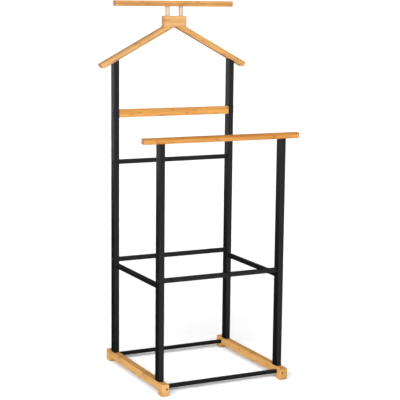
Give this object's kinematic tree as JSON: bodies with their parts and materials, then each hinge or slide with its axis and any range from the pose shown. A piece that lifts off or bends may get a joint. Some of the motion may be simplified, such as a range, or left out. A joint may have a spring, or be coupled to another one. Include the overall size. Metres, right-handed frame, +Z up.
{
  "type": "valet stand",
  "caption": "Free-standing valet stand of black square tube and bamboo bars, with a sloped coat hanger, a top bar on pegs, a trouser rail, a slat and an open shelf frame.",
  "frame": {"origin": "on the floor, midway between the posts, which is also the middle of the plan outline", "axes": "+X to the right, +Y to the back where the hanger is, +Z up; the trouser rail is at -Y"},
  "size_m": [0.455, 0.384, 1.02],
  "materials": {
    "bamboo": "clear satin lacquer on laminated bamboo",
    "peg_wood": "plain pale hardwood",
    "black_steel": "satin black powder coat",
    "black_bolt": "black zinc plated, with a soft shine",
    "brass_screw": "yellow zinc plated",
    "screw_steel": "zinc plated",
    "nylon": "moulded"
  },
  "bodies": {
    "root": {"base_rail_left": "bamboo", "base_rail_right": "bamboo", "base_tube_front": "black_steel", "base_tube_back": "black_steel", "base_lock_screws": "brass_screw", "back_post_left": "black_steel", "back_post_right": "black_steel", "front_post_left": "black_steel", "front_post_right": "black_steel", "post_foot_inserts": "nylon", "post_foot_bolts": "screw_steel", "front_post_top_inserts": "nylon", "back_post_top_inserts": "nylon", "shelf_rail_front": "black_steel", "shelf_rail_back": "black_steel", "side_rail_left": "black_steel", "side_rail_right": "black_steel", "back_cross_rail": "black_steel", "cross_rail_inserts": "nylon", "cross_rail_bolts": "black_bolt", "back_slat": "bamboo", "slat_screws": "black_bolt", "trouser_rail": "bamboo", "trouser_rail_screws": "screw_steel", "hanger_arm_left": "bamboo", "hanger_arm_right": "bamboo", "hanger_arm_screws": "screw_steel", "hanger_block": "bamboo", "arm_dowels": "peg_wood", "peg_left": "peg_wood", "peg_right": "peg_wood", "top_bar": "bamboo"}
  },
  "joints": []
}
